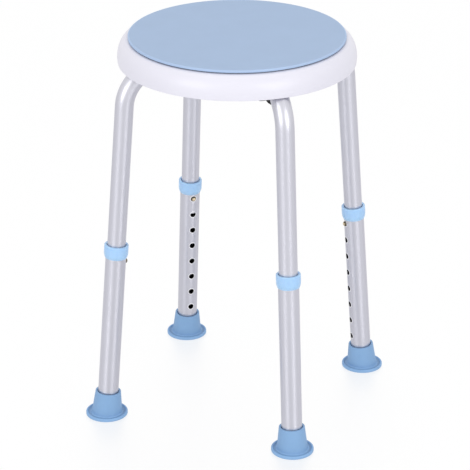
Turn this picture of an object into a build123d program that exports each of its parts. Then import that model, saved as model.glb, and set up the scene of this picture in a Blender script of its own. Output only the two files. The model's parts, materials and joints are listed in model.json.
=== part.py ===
"""Round shower stool: a soft pad that swivels on a white seat, and four legs of adjustable height.

Millimetres, +Z up, origin on the floor below the middle of the seat. The legs stand on the X and Y axes
and are shown at their tallest setting. A station is a distance up along a leg's own sloping axis, measured
from the floor.
"""
import os
from math import cos, radians, sin, sqrt, tan

from build123d import *

# Overall sizes
seat_height = 530.0
seat_diameter = 320.0
leg_lean = 4.38

# Seat pad
rim_margin = 14.5
pad_thickness = 4.0
pad_crown = 0.9
pad_edge_round = 2.0

# Swivel disc under the pad
disc_inset = 3.0
disc_thickness = 3.2
disc_boss_diameter = 36.0
disc_boss_depth = 7.0
disc_boss_floor = 4.7

# White seat base
pad_gap = 1.4
well_clearance = 0.8
deck_thickness = 3.2
shoulder_height = 25.1
rim_height = 31.6
skirt_thickness = 2.8
skirt_draft = 0.6
skirt_edge_round = 0.9
rib_count = 8
rib_thickness = 2.4
rib_depth = 12.8
ring_rib_setback = 33.0

# Glide ring in the deck
glide_ring_inset = 16.5
glide_ring_width = 8.0
glide_ring_sunk = 1.5
glide_ring_proud = 1.2

# Centre pivot
pivot_diameter = 8.0
pivot_running_fit = 0.08
pivot_gap = 0.3
pivot_head_width = 13.0
pivot_head_height = 5.3
pivot_tip = 2.0
bush_wall = 2.0
bush_flange_diameter = 24.0
bush_flange_thickness = 1.5
boss_clearance = 0.5
hub_wall = 3.0
hub_length = 8.0
thrust_washer_diameter = 26.0
thrust_washer_thickness = 1.5
pivot_washer_diameter = 24.0
pivot_washer_thickness = 1.6
pivot_nut_height = 8.0
pivot_nut_collar = 2.4

# Leg tubes
upper_tube_diameter = 25.0
upper_tube_wall = 1.2
lower_tube_wall = 1.2
slide_clearance = 0.3
bend_radius = 54.0
cradle_height = 6.1
skirt_leg_clearance = 2.6
run_end_radius = 42.0
plug_head = 2.0
plug_depth = 10.0

# Height adjustment
hole_pitch = 25.4
hole_count = 8
lowest_hole_station = 50.9
upper_tube_overlap = 24.0
button_diameter = 7.2
button_clearance = 0.5
button_proud = 3.0
button_dome = 2.7
button_flange_diameter = 9.6
button_flange_thickness = 0.9
button_seat = 8.9
spring_thickness = 0.8
spring_width = 8.0
spring_length = 46.0
spring_pad = 6.0
spring_fold_radius = 3.0

# Leg collar
collar_wall = 2.45
collar_height = 18.6
collar_taper_height = 7.0
collar_tail_wall = 0.6
collar_above_hole = 2.4
collar_recess = 3.2
collar_mouth_gap = 0.9
collar_stop = 4.0
collar_edge_round = 0.8
collar_slide_clearance = 0.3
collar_belly_width_share = 0.75
collar_belly_height_share = 0.55

# Rubber foot
foot_height = 34.5
foot_floor = 6.5
foot_top_wall = 3.5
foot_base_wall = 7.4
foot_flange_reach = 7.4
foot_flange_height = 3.3
foot_lip_height = 1.2
foot_lip_width = 3.6
foot_lip_flat = 2.2
foot_edge_round = 1.2
foot_junction_round = 1.8
foot_mouth_gap = 1.0
foot_mouth_depth = 3.0
foot_groove_width = 2.6
foot_groove_depth = 1.2
foot_groove_inset = 9.0
foot_groove_pitch = 7.5
foot_groove_count = 2
foot_washer_thickness = 2.0

# Saddles and fasteners under the seat
saddle_start = 4.0
saddle_length = 20.0
saddle_wall = 5.0
saddle_ear_thickness = 5.2
saddle_ear_width = 10.7
saddle_corner_round = 4.2
saddle_screw_offset = 6.3
saddle_screw_diameter = 4.0
saddle_screw_head_diameter = 7.6
saddle_screw_head_height = 2.6
saddle_screw_grip = 14.0
saddle_boss_diameter = 9.0
cradle_rib_thickness = 3.0
leg_bolt_inset = 16.0
leg_bolt_diameter = 6.0
leg_bolt_head_diameter = 10.5
leg_bolt_head_height = 4.0
leg_bolt_boss_diameter = 14.0
leg_bolt_end_gap = 0.8
leg_bolt_washer_diameter = 12.0
leg_bolt_washer_thickness = 1.2
leg_bolt_washer_wrap = 2.0
screw_flank_share = 0.45
screw_slot_length_share = 0.55
screw_slot_width_share = 0.13
screw_slot_depth_share = 0.5

# Small fits
seat_fit = 0.1
socket_fit = 0.05
bolt_fit = 0.2
through = 1.0

# Heights of the seat's layers, from the top down
seat_radius = seat_diameter / 2
pad_radius = seat_radius - rim_margin
disc_radius = pad_radius - disc_inset
well_radius = disc_radius + well_clearance
pad_bottom = seat_height - pad_thickness
land_height = pad_bottom - pad_gap
widest_height = land_height - shoulder_height
rim_bottom = land_height - rim_height
disc_bottom = pad_bottom - disc_thickness
deck_top = disc_bottom - glide_ring_proud
deck_bottom = deck_top - deck_thickness

# Heights of the pivot's layers
boss_bottom = disc_bottom - disc_boss_depth
bush_top = boss_bottom - pivot_gap
hub_floor = bush_top - bush_flange_thickness
hub_bottom = hub_floor - hub_length
hub_well_radius = disc_boss_diameter / 2 + boss_clearance
hub_radius = hub_well_radius + hub_wall
bush_radius = pivot_diameter / 2 + pivot_running_fit + bush_wall
thrust_top = hub_bottom - pivot_gap
washer_top = thrust_top - thrust_washer_thickness
nut_top = washer_top - pivot_washer_thickness
pivot_head_seat = boss_bottom + disc_boss_floor

# The leg's line, from the run under the deck to the floor
upper_radius = upper_tube_diameter / 2
upper_bore = upper_radius - upper_tube_wall
lower_bore = upper_radius + slide_clearance
lower_radius = lower_bore + lower_tube_wall
lean_sine = sin(radians(leg_lean))
lean_cosine = cos(radians(leg_lean))
run_height = deck_bottom - cradle_height - upper_radius
bend_reach = bend_radius * tan(radians(90 - leg_lean) / 2)
bend_centre_height = run_height - bend_radius
bend_outer_reach = sqrt((bend_radius + upper_radius) ** 2 - (rim_bottom - bend_centre_height) ** 2)
skirt_inner_radius = seat_radius - skirt_draft - skirt_thickness
bend_end_radius = skirt_inner_radius - skirt_leg_clearance - bend_outer_reach
corner_radius = bend_end_radius + bend_reach
foot_circle_radius = corner_radius + run_height * tan(radians(leg_lean))

# Stations along the leg
button_station = lowest_hole_station + hole_pitch * (hole_count - 1)
hole_radius = button_diameter / 2 + button_clearance
upper_end_station = button_station - upper_tube_overlap
collar_bottom = button_station + hole_radius + collar_above_hole
collar_top = collar_bottom + collar_height
lower_top_station = collar_top - collar_recess - collar_stop
lower_end_station = foot_floor + foot_washer_thickness
foot_top_station = foot_height / lean_cosine

# Places of the saddles and bolts along the run
saddle_inner = bend_end_radius + saddle_start
saddle_outer = saddle_inner + saddle_length
saddle_middle = (saddle_inner + saddle_outer) / 2
saddle_top = run_height - upper_radius
saddle_bottom = saddle_top - saddle_ear_thickness
saddle_half_width = upper_radius + saddle_ear_width
screw_side = upper_radius + saddle_screw_offset
leg_bolt_radius = run_end_radius + leg_bolt_inset

leg_azimuths = {"right": 0, "back": 90, "left": 180, "front": 270}
on_leg = Pos(X=foot_circle_radius) * Rot(Y=-leg_lean)
upright = (Align.CENTER, Align.CENTER, Align.MIN)


def disc(radius, bottom, top):
    """Upright cylinder on the Z axis between two heights."""
    return Pos(Z=bottom) * Cylinder(radius, top - bottom, align=upright)


def ring(inner, outer, bottom, top):
    """Upright ring on the Z axis between two heights."""
    return disc(outer, bottom, top) - disc(inner, bottom - through, top + through)


def slab(x_range, y_range, z_range):
    """Box between two corners, one range for each axis."""
    ranges = (x_range, y_range, z_range)
    middle = tuple((low + high) / 2 for low, high in ranges)
    return Pos(*middle) * Box(*(high - low for low, high in ranges))


def turned(outline):
    """Solid of revolution about Z from a closed outline of radius and height."""
    return revolve(Plane.XZ * make_face(outline), axis=Axis.Z)


def bent_rod(radius, lower_station, inner_end):
    """Round rod along one leg's line: the run under the deck, the bend and the sloping leg."""
    start = (inner_end, 0, run_height)
    corner = (corner_radius, 0, run_height)
    end = (foot_circle_radius - lower_station * lean_sine, 0, lower_station * lean_cosine)
    path = FilletPolyline(start, corner, end, radius=bend_radius)
    return sweep(Plane(origin=start, z_dir=(1, 0, 0)) * Circle(radius), path=path)


def around(shape, azimuth):
    """The shape of the leg on +X, turned about the stool's axis."""
    return Rot(Z=azimuth) * shape


# Seat pad and swivel


def cap_height(radius, rise, distance):
    """Height of a round cap above its rim, at a distance from its axis."""
    sphere = (radius ** 2 + rise ** 2) / (2 * rise)
    return rise - sphere + sqrt(sphere ** 2 - distance ** 2)


def seat_pad():
    """Soft foam pad with a low crown and a full round at its edge, drawn in below."""
    edge_height = seat_height - pad_crown
    shoulder = pad_radius - pad_edge_round
    waist = (pad_radius, (pad_bottom + edge_height) / 2)
    crown_middle = (shoulder / 2, edge_height + cap_height(shoulder, pad_crown, shoulder / 2))
    outline = Line((0, pad_bottom), (shoulder, pad_bottom))
    outline += ThreePointArc((shoulder, pad_bottom), waist, (shoulder, edge_height))
    outline += ThreePointArc((shoulder, edge_height), crown_middle, (0, seat_height))
    outline += Line((0, seat_height), (0, pad_bottom))
    return turned(outline)


def hexagon(across_flats, bottom, top):
    """Upright hexagonal prism on the Z axis."""
    corner_distance = across_flats / sqrt(3)
    face = Plane.XY.offset(bottom) * RegularPolygon(corner_distance, 6)
    return extrude(face, amount=top - bottom)


def swivel_disc():
    """Stiff disc under the pad, with a boss that holds the pivot bolt's head."""
    plate = disc(disc_radius, disc_bottom, pad_bottom)
    plate += disc(disc_boss_diameter / 2, boss_bottom, disc_bottom)
    plate -= hexagon(pivot_head_width + 2 * seat_fit, pivot_head_seat, pad_bottom + through)
    return plate - disc(pivot_diameter / 2 + seat_fit, boss_bottom - through, pad_bottom)


def glide_ring():
    """Slippery ring sunk in the deck, on which the disc turns."""
    outer = disc_radius - glide_ring_inset
    return ring(outer - glide_ring_width, outer, deck_top - glide_ring_sunk, disc_bottom)


def pivot_bush():
    """Flanged bush in the hub."""
    bush = disc(bush_radius, hub_bottom, hub_floor)
    bush += disc(bush_flange_diameter / 2, hub_floor, bush_top)
    return bush - disc(pivot_diameter / 2 + pivot_running_fit, hub_bottom - through, bush_top + through)


def pivot_bolt():
    """Hexagon bolt that turns with the disc."""
    head = hexagon(pivot_head_width, pivot_head_seat, pivot_head_seat + pivot_head_height)
    return head + disc(pivot_diameter / 2, nut_top - pivot_nut_height - pivot_tip, pivot_head_seat)


def thrust_washer():
    """Slippery washer below the hub."""
    hole = pivot_diameter / 2 + seat_fit
    return ring(hole, thrust_washer_diameter / 2, washer_top, thrust_top)


def pivot_washer():
    """Steel washer above the nut."""
    hole = pivot_diameter / 2 + seat_fit
    return ring(hole, pivot_washer_diameter / 2, nut_top, washer_top)


def pivot_nut():
    """Lock nut with its round collar at the lower end."""
    nut_bottom = nut_top - pivot_nut_height
    collar_start = nut_bottom + pivot_nut_collar
    nut = hexagon(pivot_head_width, collar_start, nut_top)
    nut += disc(pivot_head_width / 2 - seat_fit, nut_bottom, collar_start)
    return nut - disc(pivot_diameter / 2 + seat_fit, nut_bottom - through, nut_top + through)


# White seat base


def bell(inset):
    """Solid under the rim's curve, drawn in by an inset: an elliptic shoulder above a drafted skirt.

    It reaches a little below the rim, so that it can be used to cut as well.
    """
    side = seat_radius - inset
    crest = land_height - inset
    foot_edge = side - skirt_draft
    bottom = rim_bottom - through
    outline = Line((0, crest), (pad_radius, crest))
    outline += EllipticalCenterArc(
        (pad_radius, widest_height), rim_margin - inset, shoulder_height - inset, 0, arc_size=90)
    outline += Polyline(
        (side, widest_height), (foot_edge, rim_bottom), (foot_edge, bottom), (0, bottom), (0, crest))
    return turned(outline)


def seat_shell():
    """Deck and skirt, with the well for the disc, the ring groove and the bottom edge rounded."""
    hollow = bell(skirt_thickness) & disc(seat_diameter, 0, deck_bottom)
    shell = (bell(0) & disc(seat_diameter, rim_bottom, seat_height)) - hollow
    lower_edges = shell.edges().filter_by_position(Axis.Z, rim_bottom - seat_fit, rim_bottom + seat_fit)
    shell = fillet(lower_edges, skirt_edge_round)
    shell -= disc(well_radius, deck_top, land_height + through)
    ring_outer = disc_radius - glide_ring_inset
    return shell - ring(
        ring_outer - glide_ring_width - seat_fit, ring_outer + seat_fit,
        deck_top - glide_ring_sunk, deck_top + through)


def leg_supports():
    """What carries the leg on +X: two screw bosses joined by a cradle rib, and the bolt's boss."""
    top = deck_bottom + through
    rib_half = cradle_rib_thickness / 2
    supports = slab(
        (saddle_middle - rib_half, saddle_middle + rib_half), (-screw_side, screw_side), (run_height, top))
    supports += Pos(X=leg_bolt_radius) * disc(leg_bolt_boss_diameter / 2, run_height, top)
    for side in (-screw_side, screw_side):
        supports += Pos(saddle_middle, side) * disc(saddle_boss_diameter / 2, saddle_top + seat_fit, top)
    return supports


def leg_cuts():
    """What is cut from the base for the leg on +X: the tube's bed and the screw holes."""
    cuts = bent_rod(upper_radius + seat_fit, button_station, run_end_radius - plug_head - through)
    cuts += Pos(X=leg_bolt_radius) * disc(
        leg_bolt_diameter / 2 + seat_fit, run_height, deck_bottom)
    for side in (-screw_side, screw_side):
        cuts += Pos(saddle_middle, side) * disc(
            saddle_screw_diameter / 2 + seat_fit, saddle_top, saddle_top + saddle_screw_grip + through)
    return cuts


def seat_base():
    """White moulded seat: shell, hub, radial ribs, ring rib and the four legs' supports."""
    embedded = deck_bottom + through
    rib_bottom = deck_bottom - rib_depth
    ring_radius = run_end_radius + ring_rib_setback
    half = rib_thickness / 2
    ribs = ring(ring_radius - half, ring_radius + half, rib_bottom, embedded)
    for number in range(rib_count):
        rib = slab((hub_radius - through, seat_radius), (-half, half), (rib_bottom, embedded))
        ribs += Rot(Z=(number + 0.5) * 360 / rib_count) * rib
    base = seat_shell() + (ribs & bell(skirt_thickness / 2))
    base += disc(hub_radius, hub_bottom, embedded)
    for azimuth in leg_azimuths.values():
        base += around(leg_supports(), azimuth)
    for azimuth in leg_azimuths.values():
        base -= around(leg_cuts(), azimuth)
    base -= disc(hub_well_radius, hub_floor, deck_top + through)
    return base - disc(bush_radius + seat_fit, hub_bottom - through, hub_floor)


# Upper leg, modelled on +X


def upper_leg():
    """Bent tube, with a button hole that faces the middle and a bolt hole near its inner end."""
    tube = bent_rod(upper_radius, upper_end_station, run_end_radius)
    tube -= bent_rod(upper_bore, upper_end_station - through, run_end_radius - through)
    tube -= on_leg * button_hole(button_station)
    hole = leg_bolt_diameter / 2 + bolt_fit
    return tube - Pos(X=leg_bolt_radius) * disc(
        hole, run_height - upper_tube_diameter, run_height + upper_tube_diameter)


def button_hole(station):
    """Cutter for one hole in the leg's inner side, in the leg's own frame."""
    reach = lower_radius + through
    return Pos(Z=station) * Rot(Y=-90) * Cylinder(hole_radius, reach, align=upright)


def leg_end_plug():
    """Plug in the inner end of the tube."""
    spigot = Cylinder(upper_bore - seat_fit, plug_depth, align=upright)
    head = Pos(Z=-plug_head) * Cylinder(upper_radius, plug_head, align=upright)
    return Pos(run_end_radius, 0, run_height) * Rot(Y=90) * (spigot + head)


def leg_saddle():
    """Saddle that wraps the tube from below where the bend starts, with an ear on each side."""
    length = (saddle_inner, saddle_outer)
    ears = slab(length, (-saddle_half_width, saddle_half_width), (saddle_bottom, saddle_top))
    ears = fillet(ears.edges().filter_by(Axis.Z), saddle_corner_round)
    wrap = bent_rod(upper_radius + saddle_wall, button_station, run_end_radius)
    reach = (-saddle_half_width, saddle_half_width)
    saddle = ears + (wrap & slab(length, reach, (bend_centre_height, saddle_top)))
    saddle -= bent_rod(upper_radius + seat_fit, button_station, run_end_radius)
    for side in (-screw_side, screw_side):
        saddle -= Pos(saddle_middle, side) * disc(
            saddle_screw_diameter / 2 + bolt_fit, saddle_bottom - through, saddle_top + through)
    return saddle


def pan_screw(diameter, length, head_diameter, head_height):
    """Screw with its seat at the origin, its shank along +Z and a domed, cross-slotted head below."""
    flank = head_height * screw_flank_share
    head_radius = head_diameter / 2
    dome = cap_height(head_radius, head_height - flank, head_radius / 2)
    outline = Polyline((0, 0), (head_radius, 0), (head_radius, -flank))
    outline += ThreePointArc((head_radius, -flank), (head_radius / 2, -flank - dome), (0, -head_height))
    outline += Line((0, -head_height), (0, 0))
    slot_length = head_diameter * screw_slot_length_share
    slot_width = head_diameter * screw_slot_width_share
    slot_top = head_height * (screw_slot_depth_share - 1)
    head = turned(outline)
    for turn in (0, 90):
        slot = slab(
            (-slot_length / 2, slot_length / 2), (-slot_width / 2, slot_width / 2),
            (-head_height - through, slot_top))
        head -= Rot(Z=turn) * slot
    return head + disc(diameter / 2, 0, length)


def saddle_screws():
    """The pair of screws in one saddle."""
    screw = pan_screw(
        saddle_screw_diameter, saddle_ear_thickness + saddle_screw_grip,
        saddle_screw_head_diameter, saddle_screw_head_height)
    return [Pos(saddle_middle, side, saddle_bottom) * screw for side in (-screw_side, screw_side)]


def leg_bolt():
    """Bolt up through the tube's inner end into the base."""
    seat = saddle_top - leg_bolt_washer_thickness
    length = deck_bottom - leg_bolt_end_gap - seat
    bolt = pan_screw(leg_bolt_diameter, length, leg_bolt_head_diameter, leg_bolt_head_height)
    return Pos(leg_bolt_radius, 0, seat) * bolt


def leg_bolt_washer():
    """Washer with a hollow top that fits the tube."""
    bottom = saddle_top - leg_bolt_washer_thickness
    top = saddle_top + leg_bolt_washer_wrap
    hole = leg_bolt_diameter / 2 + bolt_fit
    washer = Pos(X=leg_bolt_radius) * ring(hole, leg_bolt_washer_diameter / 2, bottom, top)
    return washer - bent_rod(upper_radius + seat_fit, button_station, run_end_radius)


# Snap button and its spring, in the leg's own frame


def snap_button():
    """Button on its spring: flange, shank through both tubes and a domed tip."""
    length = lower_radius + button_proud - button_seat
    radius = button_diameter / 2
    flange_radius = button_flange_diameter / 2
    dome_start = length - button_dome
    dome_middle = (radius / 2, dome_start + cap_height(radius, button_dome, radius / 2))
    outline = Polyline(
        (0, 0), (flange_radius, 0), (flange_radius, button_flange_thickness),
        (radius, button_flange_thickness), (radius, dome_start))
    outline += ThreePointArc((radius, dome_start), dome_middle, (0, length))
    outline += Line((0, length), (0, 0))
    return on_leg * Pos(-button_seat, 0, button_station) * Rot(Y=-90) * turned(outline)


def button_spring():
    """Leaf spring bent to a V inside the upper tube: a pad behind the button and an arm across."""
    pad_line = -button_seat + spring_thickness / 2
    corner_of_strip = sqrt(upper_bore ** 2 - (spring_width / 2) ** 2)
    far_line = corner_of_strip - seat_fit - spring_thickness / 2
    path = FilletPolyline(
        (pad_line, 0, -spring_pad), (pad_line, 0, spring_pad), (0, 0, spring_length),
        (far_line, 0, -spring_pad), radius=spring_fold_radius)
    section = Plane(origin=(pad_line, 0, -spring_pad), z_dir=(0, 0, 1))
    strip = sweep(section * Rectangle(spring_thickness, spring_width), path=path)
    return on_leg * Pos(Z=button_station) * strip


# Lower leg, in the leg's own frame


def lower_leg():
    """Straight tube with a row of holes that face the middle."""
    tube = ring(lower_bore, lower_radius, lower_end_station, lower_top_station)
    for number in range(hole_count):
        tube -= button_hole(lowest_hole_station + hole_pitch * number)
    return on_leg * tube


def leg_collar():
    """Collar with a tapered tail, an inner stop on the tube's end and an open recess at its top."""
    outer = lower_radius + collar_wall
    tail = lower_radius + collar_tail_wall
    taper_top = collar_bottom + collar_taper_height
    belly_radius = tail + (outer - tail) * collar_belly_width_share
    belly = (belly_radius, collar_bottom + collar_taper_height * collar_belly_height_share)
    outline = Line((0, collar_bottom), (tail, collar_bottom))
    outline += ThreePointArc((tail, collar_bottom), belly, (outer, taper_top))
    outline += Polyline((outer, taper_top), (outer, collar_top), (0, collar_top), (0, collar_bottom))
    collar = turned(outline)
    top_edge = collar.edges().filter_by_position(Axis.Z, collar_top - seat_fit, collar_top + seat_fit)
    collar = fillet(top_edge, collar_edge_round)
    socket = lower_radius + socket_fit
    collar -= disc(socket, collar_bottom - through, lower_top_station)
    collar -= disc(upper_radius + collar_slide_clearance, lower_top_station, collar_top)
    mouth = upper_radius + collar_mouth_gap
    return on_leg * (collar - disc(mouth, lower_top_station + collar_stop, collar_top + through))


def foot():
    """Rubber foot: a flat flange with a raised lip, and a tapered neck that leans with the tube."""
    base_radius = lower_radius + foot_base_wall
    flange_radius = base_radius + foot_flange_reach
    lip_top = foot_flange_height + foot_lip_height
    outline = Polyline(
        (0, 0), (flange_radius, 0), (flange_radius, lip_top),
        (flange_radius - foot_lip_flat, lip_top),
        (flange_radius - foot_lip_width, foot_flange_height), (0, foot_flange_height), close=True)
    flange = turned(outline)
    rims = flange.edges().filter_by(GeomType.CIRCLE).group_by(SortBy.RADIUS)[-1]
    flange = Pos(X=foot_circle_radius) * fillet(rims, foot_edge_round)
    root = foot_base_wall
    slope = (foot_base_wall - foot_top_wall) / foot_top_station
    neck = Pos(Z=-root) * Cone(
        base_radius + root * slope, lower_radius + foot_top_wall, foot_top_station + root, align=upright)
    body = flange + on_leg * neck
    body -= Pos(X=foot_circle_radius) * disc(flange_radius * 2, -foot_height, 0)
    body = fillet(body.edges().filter_by(GeomType.ELLIPSE), foot_junction_round)
    body -= on_leg * disc(lower_radius + socket_fit, foot_floor, foot_top_station + through)
    mouth = lower_radius + foot_mouth_gap
    body -= on_leg * disc(mouth, foot_top_station - foot_mouth_depth, foot_top_station + through)
    for number in range(foot_groove_count):
        outer = flange_radius - foot_groove_inset - foot_groove_pitch * number
        groove = ring(outer - foot_groove_width, outer, -through, foot_groove_depth)
        body -= Pos(X=foot_circle_radius) * groove
    return body


def foot_washer():
    """Steel disc that keeps the tube's end from cutting through the rubber."""
    return on_leg * disc(lower_radius, foot_floor, lower_end_station)


nodes = {
    "seat_base": seat_base(),
    "seat_pad": seat_pad(),
    "swivel_disc": swivel_disc(),
    "glide_ring": glide_ring(),
    "pivot_bush": pivot_bush(),
    "pivot_bolt": pivot_bolt(),
    "thrust_washer": thrust_washer(),
    "pivot_washer": pivot_washer(),
    "pivot_nut": pivot_nut(),
}

leg_pieces = {
    "upper_leg": upper_leg(),
    "leg_end_plug": leg_end_plug(),
    "leg_saddle": leg_saddle(),
    "button_spring": button_spring(),
    "snap_button": snap_button(),
    "lower_leg": lower_leg(),
    "leg_collar": leg_collar(),
    "foot": foot(),
    "foot_washer": foot_washer(),
}
for side_name, azimuth in leg_azimuths.items():
    for piece_name, piece in leg_pieces.items():
        nodes[f"{piece_name}_{side_name}"] = around(piece, azimuth)

fasteners = {
    "saddle_screws": saddle_screws(),
    "leg_bolts": [leg_bolt()],
    "leg_bolt_washers": [leg_bolt_washer()],
}
for fastener_name, one_leg in fasteners.items():
    placed = [around(item, azimuth) for azimuth in leg_azimuths.values() for item in one_leg]
    nodes[fastener_name] = Compound(children=placed)

os.makedirs("parts", exist_ok=True)
for node_name, shape in nodes.items():
    export_step(shape, f"parts/{node_name}.step")
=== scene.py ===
"""Looks of a round shower stool: a foam pad that swivels on a white seat, on four telescopic legs.

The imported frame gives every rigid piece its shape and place, in metres, with +Z up. This script finishes
those pieces, models the foam pad and the four leaf springs, and sets a white studio with a camera that
looks down at the front leg.
"""
import json
import math

import bpy
import numpy as np
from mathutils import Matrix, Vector


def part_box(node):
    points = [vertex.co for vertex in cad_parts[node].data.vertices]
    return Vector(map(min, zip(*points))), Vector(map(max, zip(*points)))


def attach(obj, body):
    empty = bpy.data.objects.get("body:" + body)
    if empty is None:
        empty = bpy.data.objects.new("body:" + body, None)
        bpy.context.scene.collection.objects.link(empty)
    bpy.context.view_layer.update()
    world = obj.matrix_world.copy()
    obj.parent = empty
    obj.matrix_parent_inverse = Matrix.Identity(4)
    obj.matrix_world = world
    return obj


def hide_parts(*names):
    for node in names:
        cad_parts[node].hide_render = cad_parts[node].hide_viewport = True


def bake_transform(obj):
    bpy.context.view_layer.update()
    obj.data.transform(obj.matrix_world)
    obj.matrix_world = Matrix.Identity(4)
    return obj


bl_info = {
    "name": "Shower stool looks",
    "version": (1, 0, 0),
    "blender": (4, 5, 0),
    "location": "3D View > Sidebar > Stool",
    "description": "Finishes the pieces of a round shower stool and sets a white studio",
    "category": "Object",
}

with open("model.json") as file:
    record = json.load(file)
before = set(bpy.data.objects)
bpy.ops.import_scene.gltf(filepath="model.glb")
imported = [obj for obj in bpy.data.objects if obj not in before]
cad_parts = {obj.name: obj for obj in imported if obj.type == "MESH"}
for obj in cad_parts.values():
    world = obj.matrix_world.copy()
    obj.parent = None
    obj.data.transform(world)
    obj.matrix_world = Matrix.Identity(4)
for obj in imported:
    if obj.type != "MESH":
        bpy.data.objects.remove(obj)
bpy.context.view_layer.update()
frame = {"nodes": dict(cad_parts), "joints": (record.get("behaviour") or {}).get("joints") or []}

MM = 0.001
WHITE = (1.0, 1.0, 1.0, 1.0)

# Sockets of a Mix node that mixes colours.
MIX_FIRST = 6
MIX_SECOND = 7
MIX_RESULT = 2

# Direction of each leg from the middle of the seat, in degrees from +X.
SIDES = {"right": 0.0, "back": 90.0, "left": 180.0, "front": 270.0}

joint_axes = {joint["name"]: Vector(joint["axis"]) for joint in frame["joints"]}
pad_low, pad_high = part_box("seat_pad")
foot_low, foot_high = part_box("foot_right")
tube_low, tube_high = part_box("upper_leg_right")

# The leg's slope and the middle of its bend, from the slide's axis and the boxes of the tube and the foot.
leg_up = joint_axes["leg_height_right"]
leg_lean = math.atan2(-leg_up.x, leg_up.z)
tube_radius = (tube_high.y - tube_low.y) / 2
bend_radius = 54.0 * MM
bend_height = tube_high.z - tube_radius - bend_radius
foot_reach = (foot_low.x + foot_high.x) / 2
bend_reach = foot_reach - bend_height * math.tan(leg_lean) - bend_radius / math.cos(leg_lean)

# Radii of the tubes' bores.
upper_bore = 11.3 * MM
lower_bore = 12.8 * MM

# The row of holes, along the leg from the middle of its bend. The lowest one is given from the floor.
hole_pitch = 25.4 * MM
hole_count = 8
hole_radius = 4.1 * MM
hole_above_floor = 50.9 * MM
floor_along_leg = (bend_reach - foot_reach) * math.sin(leg_lean) - bend_height * math.cos(leg_lean)
lowest_hole = floor_along_leg + hole_above_floor
top_hole = lowest_hole + (hole_count - 1) * hole_pitch


def bend_middle(side):
    """Middle of one leg's bend."""
    azimuth = math.radians(SIDES[side])
    return Vector((bend_reach * math.cos(azimuth), bend_reach * math.sin(azimuth), bend_height))


# Shader maths


class Shade:
    """One shader value, whose operators add Math nodes."""

    def __init__(self, nodes, socket):
        self.nodes = nodes
        self.socket = socket

    def math(self, operation, *others):
        """Math node on this value and others."""
        return self.nodes.math(operation, self, *others)

    def __add__(self, other):
        return self.math("ADD", other)

    def __sub__(self, other):
        return self.math("SUBTRACT", other)

    def __rsub__(self, other):
        return self.nodes.math("SUBTRACT", other, self)

    def __mul__(self, other):
        return self.math("MULTIPLY", other)

    __radd__ = __add__
    __rmul__ = __mul__

    def step(self, low, high):
        """Smooth step from 0 below low to 1 above high."""
        settings = {"interpolation_type": "SMOOTHSTEP"}
        return self.nodes.node("ShaderNodeMapRange", settings, {"Value": self, 1: low, 2: high})


class NodeTree:
    """A shader node tree, whose nodes all come from one method."""

    def __init__(self, tree):
        self.tree = tree

    def node(self, kind, settings=None, inputs=None, output=0):
        """A node of one kind: its settings first, then the values or links of its sockets."""
        made = self.tree.nodes.new(kind)
        for label, value in (settings or {}).items():
            setattr(made, label, value)
        for key, value in (inputs or {}).items():
            self.feed(made.inputs[key], value)
        return Shade(self, made.outputs[output])

    def feed(self, socket, value):
        """Links a shader value to a socket, or sets a plain one on it."""
        if isinstance(value, Shade):
            self.tree.links.new(value.socket, socket)
        else:
            socket.default_value = value

    def math(self, operation, *values):
        """Math node on values in their order."""
        return self.node("ShaderNodeMath", {"operation": operation}, dict(enumerate(values)))

    def ray(self, label):
        """What the light path says of the ray."""
        return self.node("ShaderNodeLightPath", output=label)

    def mixed(self, factor, first, second):
        """Shader between two shaders."""
        return self.node("ShaderNodeMixShader", None, {0: factor, 1: first, 2: second})


class Paint(NodeTree):
    """A material round one Principled shader, with constants for the shader's own sockets."""

    def __init__(self, name, colour, constants=None):
        self.material = bpy.data.materials.new(name)
        self.material.use_nodes = True
        self.material.diffuse_color = opaque(colour)
        super().__init__(self.material.node_tree)
        self.shader = self.tree.nodes["Principled BSDF"]
        self.put("Base Color", opaque(colour))
        for label, value in (constants or {}).items():
            self.put(label, value)

    def put(self, label, value):
        """Feeds one input of the Principled shader."""
        self.feed(self.shader.inputs[label], value)

    def place(self):
        """Object coordinates, which are the frame's own metres."""
        return self.node("ShaderNodeTexCoord", output="Object")

    def along(self, origin, turn):
        """Object coordinates seen from an origin, in axes turned by Euler angles."""
        settings = {"vector_type": "TEXTURE"}
        inputs = {"Vector": self.place(), "Location": origin, "Rotation": turn}
        return self.node("ShaderNodeMapping", settings, inputs)

    def parts_of(self, vector):
        """The three components of a vector."""
        split = self.node("ShaderNodeSeparateXYZ", None, {0: vector})
        return [Shade(self, socket) for socket in split.socket.node.outputs]

    def noise(self, vector, scale, detail=2.0, roughness=0.5):
        """Soft noise between 0 and 1, about 0.5 on average."""
        inputs = {"Vector": vector, "Scale": scale, "Detail": detail, "Roughness": roughness}
        return self.node("ShaderNodeTexNoise", None, inputs)

    def blend(self, factor, first, second):
        """Colour between two colours, each of them plain or a shader value."""
        inputs = {0: factor}
        for key, colour in ((MIX_FIRST, first), (MIX_SECOND, second)):
            inputs[key] = colour if isinstance(colour, Shade) else opaque(colour)
        return self.node("ShaderNodeMix", {"data_type": "RGBA"}, inputs, output=MIX_RESULT)

    def tones(self, shade, colour, spread):
        """The colour, darker by a share where the shade is 0 and lighter by it where the shade is 1."""
        return self.blend(shade, shifted(colour, -spread), shifted(colour, spread))

    def bump(self, height, depth):
        """Feeds the shader's normal from a height between 0 and 1, of a real depth."""
        inputs = {"Strength": 1.0, "Distance": depth, "Height": height}
        self.put("Normal", self.node("ShaderNodeBump", None, inputs))


def opaque(colour):
    """The colour with full alpha."""
    return (*colour, 1.0)


def shifted(colour, share):
    """The colour, lighter or darker by a share."""
    return tuple(channel * (1.0 + share) for channel in colour)


def around(middle, spread, shade):
    """The middle, less the spread where the shade is 0 and plus the spread where the shade is 1."""
    return middle - spread + 2.0 * spread * shade


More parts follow.
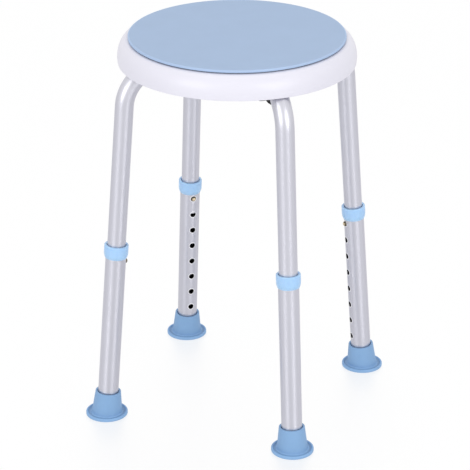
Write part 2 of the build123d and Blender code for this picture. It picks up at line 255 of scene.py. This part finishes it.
def span(first, second):
    """Length whose parts are two shader values square to each other."""
    return (first * first + second * second).math("SQRT")


# Materials

# A pair of lengths in a material says where a soft step begins and ends.


def white_moulding(finish):
    """Glossy white moulded plastic: a faint flow tint and the fine ripple of a moulded skin."""
    paint = Paint("white_moulding", finish.seat_colour, {"Coat Weight": 0.15, "Coat Roughness": 0.25})
    place = paint.place()
    flow = paint.noise(place, scale=14.0, detail=3.0)
    skin = paint.noise(place, scale=700.0)
    gloss = paint.noise(place, scale=60.0, detail=3.0)
    paint.put("Base Color", paint.tones(flow, finish.seat_colour, spread=0.012))
    paint.put("Roughness", around(0.35, 0.05, gloss))
    paint.bump(skin, depth=0.02 * MM)
    return paint.material


def foam_skin(finish):
    """Closed-cell foam with a satin skin: fine pores over a slow mottle, and a painted highlight that makes
    the edge paler.
    """
    painted_highlight_band = (pad_high.x - 2.4 * MM, pad_high.x - 1.2 * MM)
    paint = Paint("foam_skin", finish.pad_colour)
    place = paint.place()
    x, y, _ = paint.parts_of(place)
    edge = span(x, y).step(*painted_highlight_band)
    mottle = paint.noise(place, scale=35.0, detail=4.0)
    pores = paint.noise(place, scale=1100.0, detail=3.0, roughness=0.6)
    # The edge mask paints a highlight: the pad's rounded edge is made paler.
    tone = 0.375 + 0.15 * mottle + 0.1 * pores + 0.32 * edge
    paint.put("Base Color", paint.tones(tone, finish.pad_colour, spread=0.2))
    paint.put("Roughness", around(0.56, 0.06, pores))
    paint.bump(pores, depth=0.12 * MM)
    return paint.material


def leg_axes(paint, side):
    """Object coordinates from the middle of one leg's bend: outward, sideways and up along the leg."""
    turn = (0.0, -leg_lean, math.radians(SIDES[side]))
    return paint.parts_of(paint.along(bend_middle(side), turn))


def tube_run(across, upward):
    """Distance from the middle of the bend that is steady along the tube, and the place along the tube.

    The distance is the part across the leg below the bend, the whole distance in the bend, and the height
    above the bend's middle on the level run under the seat.
    """
    bent = span(across, upward.math("MAXIMUM", 0.0))
    level = across * math.sin(leg_lean) + upward * math.cos(leg_lean)
    inward = (upward * math.sin(leg_lean) - across * math.cos(leg_lean)).math("MAXIMUM", 0.0)
    on_run = inward.math("GREATER_THAN", 0.0)
    distance = on_run * level + (1.0 - on_run) * bent
    return distance, upward - inward


def hole_highlight_rings(distance, sideways, upward):
    """Mask of rings round the holes, on the side of the tube that faces the middle of the stool: bare
    deburred metal with a painted highlight.

    The height above the lowest hole, in pitches, is rounded to the nearest hole of the row. What is left of
    the height and the distance sideways give the distance from that hole.
    """
    inner_side = (bend_radius - 4.0 * MM, bend_radius - 2.0 * MM)
    ring_edge = (hole_radius + 0.8 * MM, hole_radius + 1.3 * MM)
    row = (upward - lowest_hole) * (1.0 / hole_pitch)
    nearest = row.math("ROUND").math("MAXIMUM", 0.0).math("MINIMUM", hole_count - 1.0)
    reach = span((row - nearest) * hole_pitch, sideways)
    return (1.0 - distance.step(*inner_side)) * (1.0 - reach.step(*ring_edge))


def anodised_tube(finish, side, bore, name, holes=False):
    """Satin anodised tube: fine draw lines that follow the tube and its bend, and painted shade in the
    bore.

    A tube with holes has a pale ring round each of them: bare metal where the edge was deburred, painted
    lighter as a highlight.
    """
    bore_edge = (bore + 0.1 * MM, bore + 0.5 * MM)
    line_stretch = 0.01
    paint = Paint(f"{name}_{side}", finish.tube_colour, {"Metallic": 1.0})
    across, sideways, upward = leg_axes(paint, side)
    distance, length = tube_run(across, upward)
    drawn = {0: distance, 1: sideways, 2: length * line_stretch}
    stretched = paint.node("ShaderNodeCombineXYZ", None, drawn)
    lines = paint.noise(stretched, scale=1400.0, detail=1.0)
    bands = paint.noise(stretched, scale=190.0, detail=0.0)
    cloud = paint.noise(paint.place(), scale=40.0)
    outside = span(distance - bend_radius, sideways).step(*bore_edge)
    tone = paint.tones(0.3 * lines + 0.7 * bands, finish.tube_colour, spread=0.07)
    if holes:
        # The rings round the holes are bare metal with a painted highlight.
        tone = paint.blend(hole_highlight_rings(distance, sideways, upward), tone, finish.bare_and_highlight_colour)
    # Inside the bore the colour is painted shade.
    paint.put("Base Color", paint.blend(outside, finish.bore_shade_colour, tone))
    paint.put("Roughness", 0.33 + 0.05 * lines + 0.05 * cloud + 0.25 * (1.0 - outside))
    paint.bump(lines, depth=0.002 * MM)
    return paint.material


def moulded(name, colour, roughness, grain, depth, spread=0.04, soak=0.0):
    """Coloured moulded plastic: a slow mottle, a grain of some scale and depth, and light that soaks in."""
    constants = {
        "Subsurface Weight": soak,
        "Subsurface Radius": (1.0, 1.0, 1.0),
        "Subsurface Scale": 3.0 * MM,
    }
    paint = Paint(name, colour, constants)
    place = paint.place()
    mottle = paint.noise(place, scale=45.0, detail=3.0)
    skin = paint.noise(place, scale=grain, detail=3.0, roughness=0.6)
    paint.put("Base Color", paint.tones(0.7 * mottle + 0.3 * skin, colour, spread))
    paint.put("Roughness", around(roughness, 0.05, skin))
    paint.bump(skin, depth)
    return paint.material


def metal(name, colour, roughness, scale):
    """Plain metal with small tool marks and a slightly uneven tone."""
    paint = Paint(name, colour, {"Metallic": 1.0})
    marks = paint.noise(paint.place(), scale, detail=4.0, roughness=0.65)
    paint.put("Base Color", paint.tones(marks, colour, spread=0.08))
    paint.put("Roughness", around(roughness, 0.06, marks))
    paint.bump(marks, depth=0.02 * MM)
    return paint.material


def foot_rubber(finish):
    """Matt rubber: a fine grain, painted shade in the groove round the neck and a painted highlight on the
    lip.

    The feet stand on the X and Y axes. So the larger of the plain distances along X and Y, less the feet's
    reach, and the smaller one are the two parts of the distance from a foot's own middle.
    """
    flange_top = (6.0 * MM, 9.0 * MM)
    groove_start = (22.2 * MM, 23.4 * MM)
    groove_end = (25.0 * MM, 26.4 * MM)
    lip_start = (25.6 * MM, 26.8 * MM)
    paint = Paint("foot_rubber", finish.foot_colour)
    place = paint.place()
    x, y, z = paint.parts_of(place)
    x = x.math("ABSOLUTE")
    y = y.math("ABSOLUTE")
    reach = span(x.math("MAXIMUM", y) - foot_reach, x.math("MINIMUM", y))
    flange = 1.0 - z.step(*flange_top)
    groove_shade = flange * reach.step(*groove_start) * (1.0 - reach.step(*groove_end))
    lip_highlight = flange * reach.step(*lip_start)
    grain = paint.noise(place, scale=900.0, detail=3.0, roughness=0.6)
    mottle = 0.3 * grain + 0.7 * paint.noise(place, scale=45.0, detail=3.0)
    # Darkening the groove paints shade, and lightening the lip paints a highlight.
    tone = 0.375 + 0.25 * mottle - 0.4 * groove_shade + 0.2 * lip_highlight
    paint.put("Base Color", paint.tones(tone, finish.foot_colour, spread=0.2))
    paint.put("Roughness", around(0.52, 0.05, grain))
    paint.bump(grain, depth=0.05 * MM)
    return paint.material


def brass_button(finish, side):
    """Turned brass, bright at the tip, with painted shade that darkens it towards the edge of the dome and
    down the shank.
    """
    dome_edge = (1.9 * MM, 3.0 * MM)
    paint = Paint(f"brass_{side}", finish.brass_colour, {"Metallic": 1.0})
    _, sideways, upward = leg_axes(paint, side)
    marks = paint.noise(paint.place(), scale=900.0, detail=3.0)
    # Painted shade: the brass darkens towards the edge of the dome and down the shank.
    painted_dome_shade = span(upward - top_hole, sideways).step(*dome_edge) * (0.8 + 0.4 * marks)
    shade_colour = shifted(finish.brass_colour, -0.8)
    paint.put("Base Color", paint.blend(painted_dome_shade, finish.brass_colour, shade_colour))
    paint.put("Roughness", around(0.22, 0.04, marks))
    return paint.material


def finish_nodes(material, *nodes):
    """Gives the objects of CAD nodes one material."""
    for node in nodes:
        slots = frame["nodes"][node].data.materials
        slots.clear()
        slots.append(material)


# Meshes


def mesh_object(name, points, faces):
    """Smooth mesh object at the origin from an array of points and a list of faces."""
    mesh = bpy.data.meshes.new(name)
    mesh.from_pydata(points.tolist(), [], faces)
    mesh.polygons.foreach_set("use_smooth", np.ones(len(mesh.polygons), bool))
    mesh.update()
    made = bpy.data.objects.new(name, mesh)
    bpy.context.scene.collection.objects.link(made)
    return made


def ring_faces(index):
    """Quads between the rows of an array of point numbers, where each row closes into a ring."""
    following = np.roll(index, -1, axis=1)
    quads = np.stack([index[:-1], following[:-1], following[1:], index[1:]], -1)
    return quads.reshape(-1, 4).tolist()


def turned_surface(radii, heights, segments):
    """Points and faces of a closed surface of revolution about Z.

    The profile's points are carried round by equal angles: x is radius times cosine, y radius times sine.
    The first and last points lie on the axis and close the surface as poles.
    """
    angles = np.linspace(0.0, 2.0 * math.pi, segments, endpoint=False)
    inner_radii = radii[1:-1, None]
    x = inner_radii * np.cos(angles)
    y = inner_radii * np.sin(angles)
    z = np.broadcast_to(heights[1:-1, None], x.shape)
    grid = np.stack([x, y, z], -1).reshape(-1, 3)
    poles = np.array([[0.0, 0.0, heights[0]], [0.0, 0.0, heights[-1]]])
    index = np.arange(len(grid)).reshape(x.shape)
    following = np.roll(index, -1, axis=1)
    first = np.full(segments, len(grid))
    last = first + 1
    start_fan = np.stack([first, following[0], index[0]], -1)
    end_fan = np.stack([last, index[-1], following[-1]], -1)
    return np.vstack([grid, poles]), ring_faces(index) + start_fan.tolist() + end_fan.tolist()


def pad_profile(sizes):
    """Radii and heights of the pad's section, from the middle of its underside to the middle of its top.

    The underside is flat. Along the edge an angle turns from straight down to straight up: the radius is
    the shoulder plus the edge's depth times a power of the cosine, and the height from the edge's middle is
    half its thickness times the same power of the sine. The top rises above the edge by the crown times one
    less the square of the radius over the shoulder.
    """
    under_points = 24
    edge_points = 25
    over_points = 60
    bottom = pad_low.z
    edge_top = pad_high.z - sizes.crown
    shoulder = pad_high.x - sizes.edge_round
    half = (edge_top - bottom) / 2
    under = np.linspace(0.0, shoulder, under_points)
    turn = np.linspace(-math.pi / 2, math.pi / 2, edge_points)[1:-1]
    over = np.linspace(shoulder, 0.0, over_points)
    edge = np.cos(turn) ** sizes.squareness
    rise = np.sign(turn) * np.abs(np.sin(turn)) ** sizes.squareness
    dome = edge_top + sizes.crown * (1.0 - (over / shoulder) ** 2)
    radii = np.concatenate([under, shoulder + sizes.edge_round * edge, over])
    heights = np.concatenate([np.full(under_points, bottom), bottom + half + half * rise, dome])
    return radii, heights


def pad_waves(sizes, points):
    """Slow waves of the pad's top, as what is added to the points' heights.

    Broad waves are a sine of x times a sine of y, and finer ones a sine of both, in radians per metre. All
    of them go down from the plain top, and fade out towards the edge by a point's share of the crown.
    """
    x, y, z = points.T
    edge_top = pad_high.z - sizes.crown
    share = np.clip((z - edge_top) / sizes.crown, 0.0, 1.0)
    broad = np.sin(31.0 * x + 0.7) * np.sin(27.0 * y + 0.4)
    slanted = np.sin(64.0 * x - 47.0 * y)
    return -sizes.unevenness * share * (0.75 + 0.5 * broad + 0.25 * slanted)


def rounded_line(corners, radius, count):
    """Points at equal distances on a flat line, whose corners are arcs of one radius.

    At a corner the line turns by the angle between its two directions. The arc starts and ends radius times
    the tangent of half that angle from the corner, and its middle lies square to the line at its start.
    """
    arc_points = 48
    corners = np.asarray(corners)
    ways = np.diff(corners, axis=0)
    ways /= np.linalg.norm(ways, axis=1)[:, None]
    pieces = [corners[:1]]
    for corner, before, after in zip(corners[1:-1], ways[:-1], ways[1:]):
        turn = math.atan2(before[0] * after[1] - before[1] * after[0], before @ after)
        side = math.copysign(radius, turn) * np.array([-before[1], before[0]])
        middle = corner - before * radius * math.tan(abs(turn) / 2) + side
        angles = np.linspace(0.0, turn, arc_points)[:, None]
        spoke = np.array([side[1], -side[0]])
        pieces.append(middle - side * np.cos(angles) + spoke * np.sin(angles))
    line = np.vstack(pieces + [corners[-1:]])
    run = np.concatenate([[0.0], np.cumsum(np.linalg.norm(np.diff(line, axis=0), axis=1))])
    even = np.linspace(0.0, run[-1], count)
    return np.stack([np.interp(even, run, line[:, 0]), np.interp(even, run, line[:, 1])], -1)


def spring_line(sizes):
    """Middle line of a leaf spring, as distances outward and upward from the tube's axis at the button.

    It runs up the flat behind the button and on to the corner of the V, and back down the straight far arm.
    """
    line_points = 180
    near_arm = sizes.thickness / 2 - sizes.seat
    corners = [
        (near_arm, -sizes.pad),
        (near_arm, sizes.pad),
        (0.0, sizes.length),
        (sizes.far_arm, -sizes.pad),
    ]
    return rounded_line(corners, sizes.fold, line_points)


def flat_strip(line, sizes, origin, axes):
    """Points and faces of a closed strip of metal along a flat line.

    The section is a rectangle with round corners: each corner's middle plus a circle of its radius, taken
    in whole at equal angles. Thickness runs along the line's normal, which is its direction turned by a
    quarter, and width runs out of the line's plane. The points are the origin plus each distance times its
    axis.
    """
    section_points = 16
    angles = (np.arange(section_points) + 0.5) * 2.0 * math.pi / section_points
    thick = np.sign(np.cos(angles)) * (sizes.thickness / 2 - sizes.corner) + sizes.corner * np.cos(angles)
    wide = np.sign(np.sin(angles)) * (sizes.width / 2 - sizes.corner) + sizes.corner * np.sin(angles)
    way = np.gradient(line, axis=0)
    way /= np.linalg.norm(way, axis=1)[:, None]
    normal = np.stack([-way[:, 1], way[:, 0]], -1)
    flat = line[:, None, :] + normal[:, None, :] * thick[:, None]
    aside = np.broadcast_to(wide, flat.shape[:2])[..., None]
    points = np.array(origin) + np.concatenate([flat, aside], -1).reshape(-1, 3) @ np.array(axes)
    index = np.arange(len(points)).reshape(flat.shape[:2])
    return points, ring_faces(index) + [index[0, ::-1].tolist(), index[-1].tolist()]


# Studio


def towards_camera(azimuth, elevation):
    """Direction from the stool to a camera, by its angle from the front to the right and its angle up."""
    level = math.cos(elevation)
    return Vector((math.sin(azimuth) * level, -math.cos(azimuth) * level, math.sin(elevation)))


def to_the_right(azimuth):
    """Level direction to the right, for a camera at an azimuth."""
    return Vector((math.cos(azimuth), math.sin(azimuth), 0.0))


def aimed_object(name, data, place, aim):
    """Lamp or camera at a place, turned to look along a direction."""
    made = bpy.data.objects.new(name, data)
    made.location = place
    made.rotation_euler = aim.to_track_quat("-Z", "Y").to_euler()
    bpy.context.scene.collection.objects.link(made)
    return made


def studio_floor(stage):
    """Wide glossy white floor: to the camera it is white with a faint mirror image and soft shadows.

    Metal mirrors it a little paler than it is lit. It is clear from below, and for light that leaves a
    surface right above it, so that the undersides of the feet aren't black.
    """
    half = 12.0
    level = -0.2 * MM
    mirror_share = 0.9
    glow_share = 0.8
    mirrored_glow = 0.3
    clear_within = (2.5 * MM, 3.5 * MM)
    corners = [(-half, -half, level), (half, -half, level), (half, half, level), (-half, half, level)]
    floor = mesh_object("floor", np.array(corners), [[0, 1, 2, 3]])
    paint = Paint("floor_white", stage.floor_colour, {"Roughness": 0.15, "IOR": 2.4})
    lit = Shade(paint, paint.shader.outputs[0])
    glow = paint.node("ShaderNodeEmission", None, {"Color": WHITE, "Strength": 1.0})
    mirror = paint.node("ShaderNodeBsdfAnisotropic", None, {"Color": WHITE, "Roughness": 0.42})
    seen = paint.mixed(glow_share, paint.mixed(mirror_share, lit, mirror), glow)
    above = paint.mixed(paint.ray("Is Camera Ray"), lit, seen)
    above = paint.mixed(mirrored_glow * paint.ray("Is Glossy Ray"), above, glow)
    below = paint.node("ShaderNodeNewGeometry", output="Backfacing")
    touching = 1.0 - paint.ray("Ray Length").step(*clear_within)
    clear = paint.node("ShaderNodeBsdfTransparent")
    surface = paint.mixed(below.math("MAXIMUM", touching), above, clear)
    paint.feed(paint.tree.nodes["Material Output"].inputs["Surface"], surface)
    floor.data.materials.append(paint.material)


def studio_world(stage):
    """World that is white to the camera and in mirror images, and a plain studio grey as light."""
    world = bpy.data.worlds.new("studio")
    world.use_nodes = True
    nodes = NodeTree(world.node_tree)
    back = world.node_tree.nodes["Background"]
    nodes.feed(back.inputs["Color"], opaque(stage.light_colour))
    nodes.feed(back.inputs["Strength"], stage.light)
    white = nodes.node("ShaderNodeBackground", None, {"Color": WHITE, "Strength": 1.0})
    plain = nodes.ray("Is Camera Ray").math("MAXIMUM", nodes.ray("Is Glossy Ray"))
    surface = nodes.mixed(plain, Shade(nodes, back.outputs[0]), white)
    nodes.feed(world.node_tree.nodes["World Output"].inputs["Surface"], surface)
    return world


def studio_lamps(stage):
    """Large soft lamps. A place is so far to the camera's right, towards the camera and above the floor."""
    target = Vector((0.0, 0.0, 0.3))
    right = to_the_right(stage.azimuth)
    front = towards_camera(stage.azimuth, 0.0)
    lamps = {
        "overhead": {"place": (0.0, 0.1, 2.3), "size": 1.6, "power": 5.0},
        "front_left": {"place": (-2.0, 2.3, 1.25), "size": 1.5, "power": 19.0},
        "front_right": {"place": (1.8, 2.45, 1.25), "size": 1.5, "power": 21.0},
    }
    for name, lamp in lamps.items():
        data = bpy.data.lights.new(name, "AREA")
        data.size = lamp["size"]
        data.energy = lamp["power"]
        aside, ahead, height = lamp["place"]
        place = right * aside + front * ahead + Vector((0.0, 0.0, height))
        aimed_object(name, data, place, target - place)


def studio_camera(stage):
    """Camera on a sphere round its target, looking at it."""
    back = towards_camera(stage.azimuth, stage.elevation)
    target = to_the_right(stage.azimuth) * stage.aside + Vector((0.0, 0.0, stage.target_height))
    data = bpy.data.cameras.new("camera")
    data.lens = stage.lens
    data.sensor_width = 36.0
    data.clip_end = 100.0
    return aimed_object("camera", data, target + back * stage.distance, -back)


# Settings


def colour_setting(label, words, default):
    """Property for one colour, in linear light."""
    return bpy.props.FloatVectorProperty(
        name=label, description=words, subtype="COLOR", size=3, min=0.0, max=1.0, default=default)


def length_setting(label, words, default):
    """Property for one length, in metres."""
    return bpy.props.FloatProperty(name=label, description=words, unit="LENGTH", default=default)


def angle_setting(label, words, degrees):
    """Property for one angle, given in degrees."""
    return bpy.props.FloatProperty(
        name=label, description=words, subtype="ANGLE", default=math.radians(degrees))


class StoolFinish(bpy.types.PropertyGroup):
    """Colours of the stool's pieces."""

    seat_colour: colour_setting("Seat", "White of the moulded seat", (0.80, 0.79, 0.86))
    pad_colour: colour_setting("Pad", "Blue of the foam pad", (0.376, 0.50, 0.687))
    tube_colour: colour_setting("Tubes", "Satin aluminium of the legs", (0.628, 0.628, 0.685))
    # The pale rings round the holes are bare metal with a painted highlight.
    bare_and_highlight_colour: colour_setting("Bare edges", "Bare metal round the holes", (0.95, 0.95, 0.97))
    # The bore colour is painted shade inside the tubes.
    bore_shade_colour: colour_setting("Bore", "Dull metal inside the tubes", (0.05, 0.05, 0.055))
    collar_colour: colour_setting("Collars", "Light blue of the collars", (0.42, 0.655, 0.96))
    brass_colour: colour_setting("Buttons", "Brass of the snap buttons", (0.70, 0.58, 0.40))
    foot_colour: colour_setting("Feet", "Blue of the rubber feet", (0.243, 0.425, 0.675))
    saddle_colour: colour_setting("Saddles", "Black of the saddles", (0.02, 0.02, 0.022))
    plug_colour: colour_setting("End plugs", "Grey of the tubes' end plugs", (0.17, 0.175, 0.19))
    # The disc is the swivel's own dark grey, made darker to paint shade in the gap under the pad's edge.
    disc_and_gap_shade_colour: colour_setting("Disc", "Dark grey of the swivel disc", (0.22, 0.245, 0.305))
    glide_colour: colour_setting("Glides", "Cream of the ring, bush and washer", (0.74, 0.72, 0.65))
    spring_colour: colour_setting("Springs", "Steel of the leaf springs", (0.30, 0.31, 0.33))
    zinc_colour: colour_setting("Fasteners", "Zinc on the screws, bolts and washers", (0.52, 0.53, 0.55))


class StoolPad(bpy.types.PropertyGroup):
    """Sizes of the foam pad."""

    crown: length_setting("Crown", "Rise of the pad's middle above its edge", 0.35 * MM)
    edge_round: length_setting("Edge round", "Depth of the rounded edge", 2.0 * MM)
    squareness: bpy.props.FloatProperty(
        name="Squareness", description="Power of the edge's sine and cosine: less is squarer", default=0.7)
    unevenness: length_setting("Unevenness", "Height of the foam's slow waves", 0.12 * MM)


class StoolSpring(bpy.types.PropertyGroup):
    """Sizes of the leaf springs behind the snap buttons."""

    thickness: length_setting("Thickness", "Thickness of the strip", 0.8 * MM)
    width: length_setting("Width", "Width of the strip", 8.0 * MM)
    corner: length_setting("Corner", "Radius of the strip's long edges", 0.2 * MM)
    length: length_setting("Length", "Button to the corner of the V", 46.0 * MM)
    pad: length_setting("Pad", "Half the length of the flat behind the button", 6.0 * MM)
    seat: length_setting("Seat", "Tube's axis to the button's flange", 8.9 * MM)
    far_arm: length_setting("Far arm", "Tube's axis to the end of the far arm", 10.07 * MM)
    fold: length_setting("Fold", "Radius of the bends", 3.0 * MM)


class StoolStage(bpy.types.PropertyGroup):
    """Camera, floor and light."""

    azimuth: angle_setting("Azimuth", "Direction of the camera", -22.4)
    elevation: angle_setting("Elevation", "Camera above the horizon", 23.75)
    distance: length_setting("Distance", "Camera to its target", 3.2713)
    aside: length_setting("Aside", "Target to the right of the axis", -2.86 * MM)
    target_height: length_setting("Target height", "Target above the floor", 237.1 * MM)
    lens: bpy.props.FloatProperty(name="Lens", description="Focal length", unit="CAMERA", default=181.75)
    floor_colour: colour_setting("Floor", "White of the floor", (0.86, 0.86, 0.88))
    light_colour: colour_setting("Light colour", "Colour of the light from all sides", (0.97, 0.97, 1.0))
    light: bpy.props.FloatProperty(
        name="Light", description="Strength of the light from all sides", default=0.76)


# Operators


class STOOL_OT_seat_pad(bpy.types.Operator):
    """Foam pad with a low crown, a squarely rounded edge and a softly uneven top"""

    bl_idname = "stool.seat_pad"
    bl_label = "Seat pad"

    def execute(self, context):
        sizes = context.scene.stool_pad
        radii, heights = pad_profile(sizes)
        points, faces = turned_surface(radii, heights, segments=192)
        points[:, 2] += pad_waves(sizes, points)
        pad = mesh_object("foam_pad", points, faces)
        pad.data.materials.append(foam_skin(context.scene.stool_finish))
        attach(pad, "swivel_seat")
        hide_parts("seat_pad")
        return {"FINISHED"}


class STOOL_OT_seat_base(bpy.types.Operator):
    """White moulded seat"""

    bl_idname = "stool.seat_base"
    bl_label = "Seat base"

    def execute(self, context):
        finish_nodes(white_moulding(context.scene.stool_finish), "seat_base")
        return {"FINISHED"}


class STOOL_OT_swivel(bpy.types.Operator):
    """Disc, glide ring, bush and thrust washer of the swivel"""

    bl_idname = "stool.swivel"
    bl_label = "Swivel"

    def execute(self, context):
        finish = context.scene.stool_finish
        # The disc's dark grey also paints the shade in the gap under the pad.
        plastic = moulded("disc_plastic", finish.disc_and_gap_shade_colour, roughness=0.5, grain=500.0, depth=0.03 * MM)
        finish_nodes(plastic, "swivel_disc")
        acetal = moulded("acetal", finish.glide_colour, roughness=0.4, grain=600.0, depth=0.02 * MM)
        finish_nodes(acetal, "glide_ring", "pivot_bush", "thrust_washer")
        return {"FINISHED"}


class STOOL_OT_leg_tubes(bpy.types.Operator):
    """Upper and lower tubes of the four legs"""

    bl_idname = "stool.leg_tubes"
    bl_label = "Leg tubes"

    def execute(self, context):
        finish = context.scene.stool_finish
        for side in SIDES:
            upper = anodised_tube(finish, side, upper_bore, "upper_tube")
            lower = anodised_tube(finish, side, lower_bore, "lower_tube", holes=True)
            finish_nodes(upper, f"upper_leg_{side}")
            finish_nodes(lower, f"lower_leg_{side}")
        return {"FINISHED"}


class STOOL_OT_leg_trim(bpy.types.Operator):
    """Collars, feet, saddles and end plugs of the four legs"""

    bl_idname = "stool.leg_trim"
    bl_label = "Leg trim"

    def execute(self, context):
        finish = context.scene.stool_finish
        kinds = {
            "leg_collar": moulded(
                "collar_plastic", finish.collar_colour,
                roughness=0.36, grain=700.0, depth=0.02 * MM, spread=0.02, soak=0.4),
            "foot": foot_rubber(finish),
            "leg_saddle": moulded(
                "black_nylon", finish.saddle_colour,
                roughness=0.5, grain=600.0, depth=0.04 * MM, spread=0.2),
            "leg_end_plug": moulded(
                "grey_plug", finish.plug_colour, roughness=0.5, grain=600.0, depth=0.03 * MM),
        }
        for kind, material in kinds.items():
            for side in SIDES:
                finish_nodes(material, f"{kind}_{side}")
        return {"FINISHED"}


class STOOL_OT_button_springs(bpy.types.Operator):
    """Leaf springs in the upper tubes, behind the snap buttons"""

    bl_idname = "stool.button_springs"
    bl_label = "Button springs"

    def execute(self, context):
        sizes = context.scene.stool_spring
        steel = metal("spring_steel", context.scene.stool_finish.spring_colour, roughness=0.35, scale=700.0)
        line = spring_line(sizes)
        for side in SIDES:
            upward = joint_axes[f"leg_height_{side}"]
            outward = joint_axes[f"button_press_{side}"]
            button = bend_middle(side) + outward * bend_radius + upward * top_hole
            axes = (outward, upward, outward.cross(upward))
            points, faces = flat_strip(line, sizes, button, axes)
            spring = mesh_object(f"leaf_spring_{side}", points, faces)
            spring.data.materials.append(steel)
            button - outward * (sizes.seat - sizes.thickness)
            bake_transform(spring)
            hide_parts(f"button_spring_{side}")
        return {"FINISHED"}


class STOOL_OT_metalwork(bpy.types.Operator):
    """Snap buttons, washers, screws, bolts and the pivot's metal pieces"""

    bl_idname = "stool.metalwork"
    bl_label = "Metalwork"

    def execute(self, context):
        finish = context.scene.stool_finish
        zinc = metal("zinc_steel", finish.zinc_colour, roughness=0.36, scale=800.0)
        for side in SIDES:
            finish_nodes(brass_button(finish, side), f"snap_button_{side}")
            finish_nodes(zinc, f"foot_washer_{side}")
        finish_nodes(zinc, "pivot_bolt", "pivot_washer", "pivot_nut")
        finish_nodes(zinc, "saddle_screws", "leg_bolts", "leg_bolt_washers")
        return {"FINISHED"}


class STOOL_OT_stage(bpy.types.Operator):
    """White floor and backdrop, soft lamps and the camera"""

    bl_idname = "stool.stage"
    bl_label = "Stage"

    def execute(self, context):
        stage = context.scene.stool_stage
        studio_floor(stage)
        context.scene.world = studio_world(stage)
        studio_lamps(stage)
        context.scene.camera = studio_camera(stage)
        context.scene.view_settings.view_transform = "Standard"
        return {"FINISHED"}


# Panel and registration


class STOOL_PT_panel(bpy.types.Panel):
    """Lists the stool's settings and operators."""

    bl_idname = "STOOL_PT_panel"
    bl_label = "Shower stool"
    bl_space_type = "VIEW_3D"
    bl_region_type = "UI"
    bl_category = "Stool"

    def draw(self, context):
        for name, group in GROUPS.items():
            for setting in group.__annotations__:
                self.layout.prop(getattr(context.scene, name), setting)
        for operator in OPERATORS:
            self.layout.operator(operator.bl_idname)


GROUPS = {
    "stool_finish": StoolFinish,
    "stool_pad": StoolPad,
    "stool_spring": StoolSpring,
    "stool_stage": StoolStage,
}
OPERATORS = (
    STOOL_OT_seat_pad,
    STOOL_OT_seat_base,
    STOOL_OT_swivel,
    STOOL_OT_leg_tubes,
    STOOL_OT_leg_trim,
    STOOL_OT_button_springs,
    STOOL_OT_metalwork,
    STOOL_OT_stage,
)


def register():
    """Registers the settings, the operators and the panel."""
    for cls in (*GROUPS.values(), *OPERATORS, STOOL_PT_panel):
        bpy.utils.register_class(cls)
    for name, group in GROUPS.items():
        setattr(bpy.types.Scene, name, bpy.props.PointerProperty(type=group))


def unregister():
    """Removes what register added."""
    for name in GROUPS:
        delattr(bpy.types.Scene, name)
    for cls in (STOOL_PT_panel, *reversed(OPERATORS), *GROUPS.values()):
        bpy.utils.unregister_class(cls)


def main():
    """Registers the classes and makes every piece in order."""
    register()
    bpy.ops.stool.seat_pad()
    bpy.ops.stool.seat_base()
    bpy.ops.stool.swivel()
    bpy.ops.stool.leg_tubes()
    bpy.ops.stool.leg_trim()
    bpy.ops.stool.button_springs()
    bpy.ops.stool.metalwork()
    bpy.ops.stool.stage()


if __name__ == "__main__":
    main()
